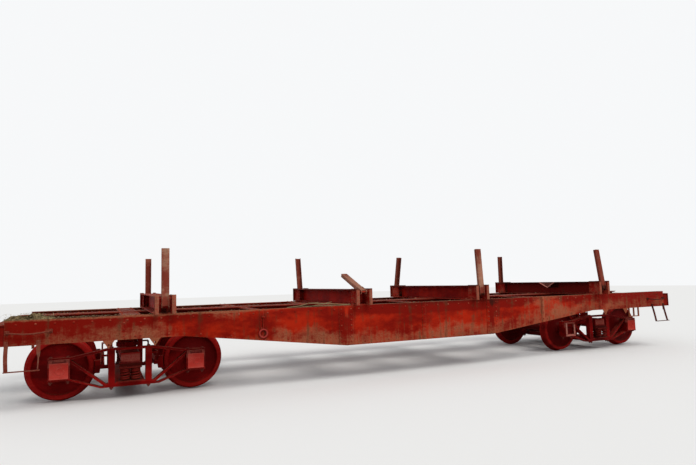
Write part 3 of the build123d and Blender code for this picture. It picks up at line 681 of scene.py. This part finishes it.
dent_x = 4.0475
dent_edge_radius = 0.0095
dent_line = [(dent_x, -0.380, 1.408), (dent_x, -0.280, 1.352), (dent_x, -0.180, 1.296),
             (dent_x, -0.060, 1.352), (dent_x, 0.060, 1.408)]
new_piece("dent_edge", tube(dent_line, dent_edge_radius, 6), bare_paint, "underframe")


# Stakes: pressed steel channels, hinged on the pocket's pin so that they fold for unloading.
# The near stakes chalked to a dry pink, and the far ones kept more of their red.
def standing(place):
    """0 about the second bunk, where one stake lies folded, and 1 elsewhere."""
    return 1 - place.axis(0).near(bunk_xs[1], 0.3)


def side_wear_and_pocket_shade(place):
    """More fading on the near side of the car, less on the fourth bunk's stakes, and less low in the pockets,
    where the kept deep colour is painted shade.
    """
    pocket_shade = (1 - place.axis(2).rise(1.30, 1.42)) * standing(place)
    fourth = place.axis(0).near(bunk_xs[3], 0.3)
    return 0.15 - 0.25 * place.axis(1).rise(-0.6, 0.6) - 0.15 * fourth - 0.3 * pocket_shade


def stake_depth_and_pocket_shade(place):
    """Deeper paint on the far side of the car, darker on the stakes of the fourth bunk, and painted shade low
    in the pockets.
    """
    pocket_shade = (1 - place.axis(2).rise(1.27, 1.40)) + 0.5 * (1 - place.axis(2).rise(1.20, 1.28))
    fourth = place.axis(0).near(bunk_xs[3], 0.3)
    return pocket_shade * standing(place) + place.axis(1).rise(-0.6, 0.6) * 0.12 + fourth * 0.7


stake_paint = weathered("stake_paint", (0.220, 0.038, 0.022, 1), (0.385, 0.122, 0.074, 1),
                        (0.475, 0.275, 0.180, 1), fade=0.65, streaks=0.55, dust=0.3, rust=0.35,
                        wear_and_painted_light=side_wear_and_pocket_shade, depth_and_shade=stake_depth_and_pocket_shade, edge=0.8)
for node in [name for name in nodes if name.startswith("stake_")]:
    softened(node, plate_edge, stake_paint)


# Binder rings: a forged ring on each sill, that chains were hooked to.
# Handling rubbed it to a bare pink.
ring_z = 0.812
ring_y = 1.474
ring_radius = 0.058
ring_bar = 0.0132
ring_sharp_angle = 60
ring_paint = weathered("ring_paint", (0.340, 0.030, 0.024, 1), (0.440, 0.055, 0.045, 1),
                       (0.500, 0.130, 0.100, 1), fade=0.45, streaks=0.2, dust=0.2, rust=0.3)
for side, side_name in ((-1, "near"), (1, "far")):
    loop = [(side * ring_x + ring_radius * sin(turn), side * ring_y, ring_z + ring_radius * cos(turn))
            for turn in np.linspace(0, 2 * pi, 25)]
    new_piece("binder_ring_" + side_name, tube(loop, ring_bar, 10), ring_paint, "underframe",
              ring_sharp_angle)


# Litter: pine straw heaped on the left end, leaves along the top flanges and sticks by the second bunk.
# It fell from above and dried grey and tan.
litter_paint = weathered("litter_paint", (0.190, 0.130, 0.062, 1), (0.340, 0.250, 0.130, 1),
                         (0.450, 0.350, 0.210, 1), fade=0.6, streaks=0.0, dust=0.0, rust=0.0, edge=0.0)
dice = np.random.default_rng(7)
straw_half_wide = 0.0028
straw_long = 0.10


def straws(count, centre, spread, length, lift):
    """Thin flat needles, each a strip of two faces bent in its middle, lying about a centre.

    Its ends lie half its length ahead of and behind the middle, along a random heading and tilt.
    """
    middle = np.array(centre) + dice.normal(size=(count, 3)) * spread
    middle[:, 2] = centre[2] + np.abs(dice.normal(size=count)) * spread[2]
    heading = dice.uniform(0, 2 * pi, count)
    tilt = dice.uniform(-lift, lift, count)
    half = dice.uniform(0.5, 1.0, count) * length / 2
    ahead = np.stack([np.cos(heading) * np.cos(tilt), np.sin(heading) * np.cos(tilt), np.sin(tilt)], -1)
    across = np.stack([-np.sin(heading), np.cos(heading), 0 * heading], -1) * straw_half_wide
    bend = np.stack([0 * half, 0 * half, half * dice.uniform(0.0, 0.3, count)], -1)
    ends = [middle - ahead * half[:, None], middle + bend, middle + ahead * half[:, None]]
    points = np.stack([spot + shift for spot in ends for shift in (-across, across)], 1).reshape(-1, 3)
    quad = np.array([(0, 1, 3, 2), (2, 3, 5, 4)])
    faces = (quad[None] + np.arange(count)[:, None, None] * 6).reshape(-1, 4)
    return points, faces.tolist()


def leaves(low, high, count, size):
    """Small dry leaves, each two faces folded on a rib, lying at random between two corners.

    Its tips lie its size ahead of and behind the middle, and its sides 0.45 of that across and higher.
    """
    middle = dice.uniform(low, high, (count, 3))
    heading = dice.uniform(0, 2 * pi, count)
    wide = dice.uniform(0.5, 1.0, count)[:, None] * size
    ahead = np.stack([np.cos(heading), np.sin(heading), dice.uniform(-0.2, 0.4, count)], -1) * wide
    across = np.stack([-np.sin(heading), np.cos(heading), 0.5 + 0 * heading], -1) * wide * 0.45
    other = across * (-1, -1, 1)
    points = np.stack([middle - ahead, middle + across, middle + ahead, middle + other], 1).reshape(-1, 3)
    faces = np.array([(0, 2, 1), (0, 3, 2)])[None] + np.arange(count)[:, None, None] * 4
    return points, faces.reshape(-1, 3).tolist()


def heap(centre, half_x, half_y, height):
    """Low mound: height falls as (1 - u^2 - v^2)^0.7 from the middle, broken up by waves of three sizes."""
    u, v = np.meshgrid(np.linspace(-1, 1, 34), np.linspace(-1, 1, 14), indexing="ij")
    fall = np.clip(1 - u ** 2 - v ** 2, 0, 1) ** 0.7
    waves = 0.75 + 0.25 * np.sin(7 * u + 2 * v) + 0.16 * np.sin(17 * u - 5 * v + 1)
    waves += 0.10 * np.sin(33 * u + 14 * v)
    top = np.stack([centre[0] + half_x * u, centre[1] + half_y * v, centre[2] + height * fall * waves], -1)
    return top.reshape(-1, 3), grid(34, 14, wrap=False).tolist()


heap_place = (-5.80, -1.40, 1.166)
mound = heap(heap_place, 0.30, 0.050, 0.075)
straw = straws(520, (heap_place[0], heap_place[1], 1.180), (0.13, 0.024, 0.028), straw_long, lift=0.16)
straw_tail = straws(200, (-5.30, -1.41, 1.169), (0.30, 0.022, 0.006), straw_long, lift=0.04)
near_leaves = leaves((-5.9, -1.452, 1.168), (-3.2, -1.36, 1.176), count=110, size=0.022)
more_leaves = leaves((-3.2, -1.452, 1.168), (2.6, -1.36, 1.172), count=90, size=0.022)
deck_leaves = leaves((-5.8, -0.18, 1.178), (5.8, 0.18, 1.182), count=150, size=0.026)

# Sticks: half thickness, then the points that each lies through
stick_lines = [
    (0.006, [(-2.41, -1.41, 1.172), (-2.20, -1.40, 1.190), (-2.03, -1.39, 1.224), (-1.88, -1.37, 1.222)]),
    (0.007, [(-2.06, -1.40, 1.226), (-1.78, -1.41, 1.208), (-1.50, -1.40, 1.186), (-1.36, -1.40, 1.178)]),
    (0.005, [(-2.30, -1.37, 1.174), (-1.95, -1.42, 1.180), (-1.60, -1.43, 1.176), (-1.35, -1.42, 1.174)]),
    (0.004, [(-2.12, -1.44, 1.172), (-1.85, -1.40, 1.196), (-1.66, -1.38, 1.230)])]
sticks = [tube(points, half, 6) for half, points in stick_lines]
shapes = [mound, straw, straw_tail, near_leaves, more_leaves, deck_leaves] + sticks
new_piece("litter", joined(shapes), litter_paint, "underframe")


# Truck frames: flat arch bars and a tie bar round cast columns and journal boxes, and a cast bolster.
# They are a deep crimson, with bare pink edges on the bolster's ends and grey dust on the ledges.
def bolster_wear(place):
    """Fading on the ends of the bolster, above its spring seats."""
    return abs(place.axis(1)).rise(1.035, 1.044) * place.axis(2).near(0.555, 0.055) * 0.52


def seat_shade(place):
    """Painted shade on the spring seats under the bolster's ends."""
    outer = abs(place.axis(1)).rise(0.84, 0.85)
    beside = 1 - abs(abs(place.axis(0)) - truck_x).rise(0.15, 0.16)
    return outer * beside * place.axis(2).near(0.463, 0.030) * 1.2


truck_paint = weathered("truck_paint", (0.150, 0.002, 0.002, 1), (0.320, 0.004, 0.003, 1),
                        (0.430, 0.095, 0.070, 1), fade=0.34, streaks=0.2, dust=0.45, rust=0.35,
                        wear_and_painted_light=bolster_wear, depth_and_shade=seat_shade, edge=1.0)
frame_edge = 0.0025
frame_kinds = ("side_frame_", "truck_bolster_", "spring_plank_", "brake_beams_")
for node in [name for name in nodes if name.startswith(frame_kinds)]:
    softened(node, frame_edge, truck_paint)


# Journal box lids, and the bolts that hold each side frame together.
# The lids faded to a flat pink, and nuts and thread ends hang under the frame.
lid_paint = weathered("lid_paint", (0.640, 0.045, 0.032, 1), (0.740, 0.100, 0.075, 1),
                      (0.740, 0.230, 0.170, 1), fade=0.45, streaks=0.2, dust=0.3, rust=0.3)
bolt_paint = weathered("bolt_paint", (0.150, 0.010, 0.008, 1), (0.230, 0.050, 0.035, 1),
                       (0.330, 0.170, 0.130, 1), fade=0.6, streaks=0.2, dust=0.4, rust=0.5)
axle_x = 0.889
open_box = (1, -1, -1)
box_front = 1.085
lid_low = 0.350
lid_high = 0.550
lid_half = 0.113
lid_thick = 0.0135
lip_out = 0.005
barrel_half = 0.080
barrel_radius = 0.0125
ear_x = 0.072
mouth_out = 0.007
mouth_top = 0.598
mouth_half = 0.124
mouth_rail = 0.034
box_bolt = 0.105
column_bolt = 0.243
bolt_pair = 0.024
arch_top = 0.701
arch_end_top = 0.616
box_tie_low = 0.306
tie_low = 0.174
frame_y = 0.98
nut = turned([(0.026, 0.0), (0.026, 0.022), (0.022, 0.026)], 6)
head = turned([(0.023, 0.0), (0.023, 0.014), (0.019, 0.018)], 6)
thread = turned([(0.0125, 0.0), (0.0125, 0.040), (0.010, 0.043)], 10)
knob = turned([(0.052, 0.0), (0.050, 0.005), (0.040, 0.007), (0.034, 0.003), (0.0, 0.003)], 24, False, False)


def lid(x, side):
    """Pressed lid: a plate with a turned lip and a round boss."""
    front = side * (box_front + lid_thick)
    plate = slab((x - lid_half, side * box_front, lid_low), (x + lid_half, front, lid_high))
    lips = [slab((x - lid_half, side * box_front, z), (x + lid_half, front + side * lip_out, z + 0.012))
            for z in (lid_low - 0.004, lid_high - 0.006)]
    boss = scattered(knob, [(x + 0.012, front, (lid_low + lid_high) / 2)], [facing(1, side)])
    return joined([plate, boss] + lips)


def hinge(x, side):
    """Hinge barrel above a lid, with the two ears that hold it."""
    z = lid_high + 0.020
    y = side * (box_front + 0.004)
    barrel = tube([(x + dx, y, z) for dx in (-barrel_half, -0.03, 0.03, barrel_half)], barrel_radius, 10)
    ears = [slab((x + dx - 0.012, side * box_front, z - 0.016), (x + dx + 0.012, y + side * 0.012, z + 0.022))
            for dx in (-ear_x, ear_x)]
    return joined([barrel] + ears)


def mouth_frame(x, side):
    """Bright frame left round the mouth of a box whose lid broke off."""
    face = side * box_front
    out = side * (box_front + mouth_out)
    foot = lid_low - 0.022
    bars = [slab((x - mouth_half, face, foot), (x + mouth_half, out, foot + mouth_rail)),
            slab((x - mouth_half, face, lid_low), (x - mouth_half + mouth_rail, out, mouth_top - 0.01)),
            slab((x + mouth_half - mouth_rail, face, lid_low), (x + mouth_half, out, mouth_top - 0.05))]
    return joined(bars)


for end, end_name in ((-1, "left"), (1, "right")):
    for side, side_name in ((-1, "near"), (1, "far")):
        body = "truck_" + end_name
        lids = []
        hinges = []
        heads = []
        nuts = []
        for sign in (-1, 1):
            x = end * truck_x + sign * axle_x
            if (end, side, sign) == open_box:
                new_piece("box_mouth", mouth_frame(x, side), bare_paint, body)
            else:
                lids.append(lid(x, side))
                hinges.append(hinge(x, side))
            heads += [(x + dx, side * frame_y, arch_end_top) for dx in (-box_bolt, box_bolt)]
            nuts += [(x + dx, side * frame_y, box_tie_low) for dx in (-box_bolt, box_bolt)]
            x = end * truck_x + sign * column_bolt
            heads += [(x, side * (frame_y + dy), arch_top) for dy in (-bolt_pair, bolt_pair)]
            nuts += [(x, side * (frame_y + dy), tie_low) for dy in (-bolt_pair, bolt_pair)]
        up = [facing(2, 1)] * len(heads)
        down = [facing(2, -1)] * len(nuts)
        bolts = [scattered(head, heads, up), scattered(nut, nuts, down), scattered(thread, nuts, down)]
        place = end_name + "_" + side_name
        new_piece("frame_bolts_" + place, joined(bolts + hinges), bolt_paint, body)
        new_piece("box_lids_" + place, joined(lids), lid_paint, body)


# Springs: four coils in each nest, wound from round bar and held between two cast plates.
# The ends of each coil are closed and ground flat.
spring_bar = 0.0125
spring_out = 0.065
spring_turns = 5.2
spring_x = 0.07
spring_y = 0.067
spring_sharp_angle = 50
nest_low = 0.237
nest_high = 0.437
nest_plate = 0.015
nest_half_x = 0.148
nest_half_y = 0.138


def helix(radius, low, high, turns, steps):
    """Path of a coil: radius is fixed, the turn grows evenly, and the rise eases in and out at the ends."""
    share = np.linspace(0, 1, steps)
    angle = 2 * pi * turns * share
    rise = share - np.sin(2 * pi * share) / (2 * pi) * 0.45
    return np.stack([radius * np.cos(angle), radius * np.sin(angle), low + (high - low) * rise], -1)


spring_paint = weathered("spring_paint", (0.090, 0.003, 0.002, 1), (0.180, 0.009, 0.006, 1),
                         (0.240, 0.065, 0.048, 1), fade=0.35, streaks=0.2, dust=0.4, rust=0.5)
coil_path = helix(spring_out - spring_bar, nest_low + nest_plate + spring_bar,
                  nest_high - nest_plate - spring_bar, spring_turns, 126)
coil = tube(coil_path, spring_bar, 8)
for end, end_name in ((-1, "left"), (1, "right")):
    for side, side_name in ((-1, "near"), (1, "far")):
        centre = np.array([end * truck_x, side * frame_y, 0.0])
        spots = [centre + (dx, dy, 0) for dx in (-spring_x, spring_x) for dy in (-spring_y, spring_y)]
        plates = [slab(centre + (-nest_half_x, -nest_half_y, low),
                       centre + (nest_half_x, nest_half_y, low + nest_plate))
                  for low in (nest_low, nest_high - nest_plate)]
        name = "spring_nest_" + end_name + "_" + side_name
        nest = new_piece(name + "_finish", joined([scattered(coil, spots)] + plates), spring_paint,
                         "truck_" + end_name, spring_sharp_angle)
        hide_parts(name)


# Wheelsets: chilled iron wheels with a dished plate and a tapered tread, pressed on a forged axle.
# The treads rusted over, and the faces carry the same red as the trucks.
axle_z = 0.4477
rim_start = (0.352, 0.366)
wheel_sharp_angle = 40


def from_axle(place):
    """Distance from the nearest axle's line: the root of the squares of its two parts."""
    beside = abs(abs(place.axis(0)) - truck_x) - axle_x
    above = place.axis(2) - axle_z
    return place.math("SQRT", beside * beside + above * above, 0.0)


def rim_wear(place):
    """Fading on the rim and the tread."""
    return from_axle(place).rise(*rim_start) * 0.34


def wheel_depth_and_shade(place):
    """Painted shade on the right truck's wheels, a little darker on the dished plate, and brighter on the
    rim.
    """
    right_truck_shade = place.axis(0).rise(-1.0, 1.0)
    radius = from_axle(place)
    return right_truck_shade * 0.34 - 0.06 + radius.near(0.245, 0.10) * 0.06 - radius.rise(*rim_start) * 0.3


wheel_paint = weathered("wheel_paint", (0.110, 0.0015, 0.0015, 1), (0.230, 0.003, 0.003, 1),
                        (0.400, 0.016, 0.012, 1), fade=0.3, streaks=0.2, dust=0.35, rust=0.35,
                        wear_and_painted_light=rim_wear, depth_and_shade=wheel_depth_and_shade, edge=0.9)

# Each point is a radius and a distance from the middle of the axle
wheel_profile = [(0.070, 0.664), (0.116, 0.664), (0.125, 0.672), (0.130, 0.692), (0.180, 0.716),
                 (0.300, 0.722), (0.338, 0.712), (0.352, 0.688), (0.360, 0.6785), (0.372, 0.6765),
                 (0.430, 0.6765), (0.4395, 0.6800), (0.4455, 0.6860), (0.4476, 0.6925), (0.4455, 0.6995),
                 (0.4385, 0.7050), (0.4290, 0.7085), (0.4225, 0.7140), (0.4200, 0.7240), (0.4172, 0.8000),
                 (0.4140, 0.8100), (0.4070, 0.8140), (0.3640, 0.8140), (0.3560, 0.8110), (0.3500, 0.8010),
                 (0.3400, 0.7850), (0.3150, 0.7710), (0.2400, 0.7640), (0.1750, 0.7720), (0.1400, 0.7900),
                 (0.1290, 0.8120), (0.1240, 0.8280), (0.1160, 0.8340), (0.070, 0.8340)]
half_axle = [(0.060, 1.046), (0.064, 1.042), (0.064, 0.900), (0.070, 0.888), (0.079, 0.870), (0.079, 0.640),
             (0.068, 0.560)]
axle_profile = [(r, -y) for r, y in half_axle] + [(0.062, 0.0)] + half_axle[::-1]
wheel = turned(wheel_profile, 96, False, False)
other_wheel = (wheel[0] * (1, -1, -1), wheel[1])
axle = turned(axle_profile, 48)
points, faces = joined([wheel, other_wheel, axle])
across_car = np.array([[1, 0, 0], [0, 0, 1], [0, -1, 0]], float)
for end, end_name in ((-1, "left"), (1, "right")):
    for place, sign in (("outer", end), ("inner", -end)):
        name = "wheelset_" + end_name + "_" + place
        middle = np.array([end * truck_x + sign * axle_x, 0.0, axle_z])
        pair = new_piece(name + "_finish", (points @ across_car.T + middle, faces), wheel_paint, name,
                         wheel_sharp_angle)
        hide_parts(name)


# Floor and light: a pale studio floor under an even sky, with a soft lamp above the camera's side.
# The floor looks white to the eye but sends little light back, so the underframe stays in shade.
def looked_at(start):
    """1 for rays from the camera and for those that gloss or glass sends on, and 0 for the rest."""
    rays = [start.node("ShaderNodeLightPath", output=name)
            for name in ("Is Camera Ray", "Is Glossy Ray", "Is Transmission Ray")]
    return (rays[0] + rays[1] + rays[2]).rise(0.0, 1.0)


floor_reach = 60.0
floor_mesh = bpy.data.meshes.new("floor")
floor_corners = [(x * floor_reach, y * floor_reach, 0) for x, y in ((-1, -1), (1, -1), (1, 1), (-1, 1))]
floor_mesh.from_pydata(floor_corners, [], [(0, 1, 2, 3)])
floor = bpy.data.objects.new("floor", floor_mesh)
bpy.context.scene.collection.objects.link(floor)
stone = bpy.data.materials.new("floor_stone")
stone.use_nodes = True
stone.node_tree.nodes.clear()
ground = Field(stone.node_tree)
tone = looked_at(ground).mix((0.30, 0.29, 0.27, 1), (0.80, 0.79, 0.77, 1))
plain = ground.node("ShaderNodeBsdfDiffuse", inputs={"Color": tone})
ground.node("ShaderNodeOutputMaterial", inputs={"Surface": plain})
floor_mesh.materials.append(stone)

world = bpy.data.worlds.new("sky")
world.use_nodes = True
world.node_tree.nodes.clear()
bpy.context.scene.world = world
sky = Field(world.node_tree)
light = sky.node("ShaderNodeBackground", inputs={"Color": (0.93, 0.96, 1.0, 1), "Strength": 0.70})
backdrop = sky.node("ShaderNodeBackground", inputs={"Color": (0.93, 0.94, 0.95, 1), "Strength": 1.0})
both = sky.node("ShaderNodeMixShader", inputs={0: looked_at(sky), 1: light, 2: backdrop})
sky.node("ShaderNodeOutputWorld", inputs={"Surface": both})

lamp = bpy.data.lights.new("soft_sun", "SUN")
lamp.energy = 1.6
lamp.angle = radians(35)
lamp.color = (1.0, 0.98, 0.95)
sun = bpy.data.objects.new("soft_sun", lamp)
sun_heading = Vector((-0.25, 0.75, -1.0))
sun.matrix_world = Matrix.Translation((0, 0, 8)) @ sun_heading.to_track_quat("-Z", "Y").to_matrix().to_4x4()
bpy.context.scene.collection.objects.link(sun)


# Camera: at eye height beside the left truck, turned towards the right end, as the car was seen.
# The lens and the place were solved from the wheels' size and gauge.
photo_width = 696
focal_pixels = 539.86
camera_place = (-4.9774, -9.3541, 1.5489)
yaw, pitch, roll = 0.4277, 0.0900, -0.0254
camera = bpy.data.cameras.new("camera")
camera.sensor_width = 36.0
camera.sensor_fit = "HORIZONTAL"
camera.lens = focal_pixels * camera.sensor_width / photo_width
ahead = Vector((sin(yaw) * cos(pitch), cos(yaw) * cos(pitch), sin(pitch)))
right = Vector((cos(yaw), -sin(yaw), 0))
above = right.cross(ahead)
across = right * cos(roll) + above * sin(roll)
upright = above * cos(roll) - right * sin(roll)
camera_turn = Matrix((across, upright, -ahead)).transposed().to_4x4()
eye = bpy.data.objects.new("camera", camera)
eye.matrix_world = Matrix.Translation(camera_place) @ camera_turn
bpy.context.scene.collection.objects.link(eye)
bpy.context.scene.camera = eye
bpy.context.scene.view_settings.view_transform = "Standard"
